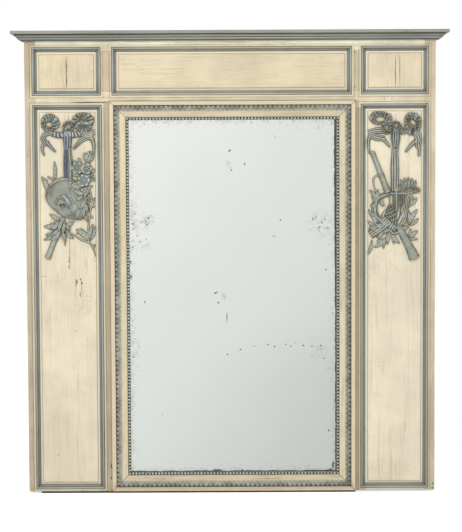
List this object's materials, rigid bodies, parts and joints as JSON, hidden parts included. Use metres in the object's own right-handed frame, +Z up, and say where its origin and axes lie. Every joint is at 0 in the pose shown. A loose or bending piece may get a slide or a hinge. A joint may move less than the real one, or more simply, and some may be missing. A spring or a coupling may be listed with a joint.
{
  "type": "trumeau mirror",
  "caption": "Painted wood trumeau wall mirror: panelled frame with a moulded cornice, carved ribbon trophies on tall side panels, and an aged plate in a leaf and pearl frame.",
  "frame": {"origin": "under the middle of the bounding box, on the plane of the sole strip's underside", "axes": "+Z up the height of the mirror, +Y back towards the wall, +X to the viewer's right, so the front faces -Y"},
  "size_m": [1.587, 0.095, 1.696],
  "materials": {
    "cream_paint": "aged cream paint on wood, rubbed to brown at the edges",
    "panel_paint": "aged pale cream paint on wood, fine grain and cracks",
    "frame_paint": "cream paint with a carved grey-blue leaf band, worn",
    "blue_paint": "aged grey-blue paint on wood, darker in the hollows",
    "carving_paint": "grey-blue and grey-green paint on carved wood, worn high points",
    "cornice_paint": "aged grey paint on wood",
    "silvered_glass": "aged silvered glass with spots of lost silvering",
    "bare_wood": "bare old softwood, dark with age",
    "hanger_iron": "dark iron with light rust"
  },
  "bodies": {
    "root": {"outer_stile_left": "cream_paint", "outer_stile_right": "cream_paint", "inner_stile_left": "cream_paint", "inner_stile_right": "cream_paint", "top_rail": "cream_paint", "mid_rail": "cream_paint", "bottom_rail_left": "cream_paint", "bottom_rail_right": "cream_paint", "frieze_muntin_left": "cream_paint", "frieze_muntin_right": "cream_paint", "upper_left_panel": "panel_paint", "frieze_panel": "panel_paint", "upper_right_panel": "panel_paint", "side_left_panel": "panel_paint", "side_right_panel": "panel_paint", "upper_left_moulding_top": "blue_paint", "upper_left_moulding_bottom": "blue_paint", "upper_left_moulding_left": "blue_paint", "upper_left_moulding_right": "blue_paint", "frieze_moulding_top": "blue_paint", "frieze_moulding_bottom": "blue_paint", "frieze_moulding_left": "blue_paint", "frieze_moulding_right": "blue_paint", "upper_right_moulding_top": "blue_paint", "upper_right_moulding_bottom": "blue_paint", "upper_right_moulding_left": "blue_paint", "upper_right_moulding_right": "blue_paint", "side_left_moulding_top": "blue_paint", "side_left_moulding_bottom": "blue_paint", "side_left_moulding_left": "blue_paint", "side_left_moulding_right": "blue_paint", "side_right_moulding_top": "blue_paint", "side_right_moulding_bottom": "blue_paint", "side_right_moulding_left": "blue_paint", "side_right_moulding_right": "blue_paint", "mirror_frame_top": "frame_paint", "mirror_frame_bottom": "frame_paint", "mirror_frame_left": "frame_paint", "mirror_frame_right": "frame_paint", "pearl_moulding_top": "carving_paint", "pearl_moulding_bottom": "carving_paint", "pearl_moulding_left": "carving_paint", "pearl_moulding_right": "carving_paint", "mirror_plate": "silvered_glass", "backboard": "bare_wood", "crown_front": "blue_paint", "crown_return_left": "blue_paint", "crown_return_right": "blue_paint", "cap_board": "cornice_paint", "ribbon_left": "carving_paint", "trophy_left": "carving_paint", "ribbon_right": "carving_paint", "trophy_right": "carving_paint", "batten_upper": "bare_wood", "batten_lower": "bare_wood", "sole_strip": "bare_wood", "hanger_strap_left": "hanger_iron", "hanger_strap_right": "hanger_iron"},
    "ring_left": {"hanger_ring_left": "hanger_iron"},
    "ring_right": {"hanger_ring_right": "hanger_iron"}
  },
  "joints": [
    {"name": "ring_left_swing", "type": "hinge", "parent": "root", "child": "ring_left", "pos_m": [-0.7285, 0.0299, 1.3], "axis": [1, 0, 0], "range_deg": [0, 180]},
    {"name": "ring_right_swing", "type": "hinge", "parent": "root", "child": "ring_right", "pos_m": [0.729, 0.0299, 1.3], "axis": [1, 0, 0], "range_deg": [0, 180]}
  ]
}
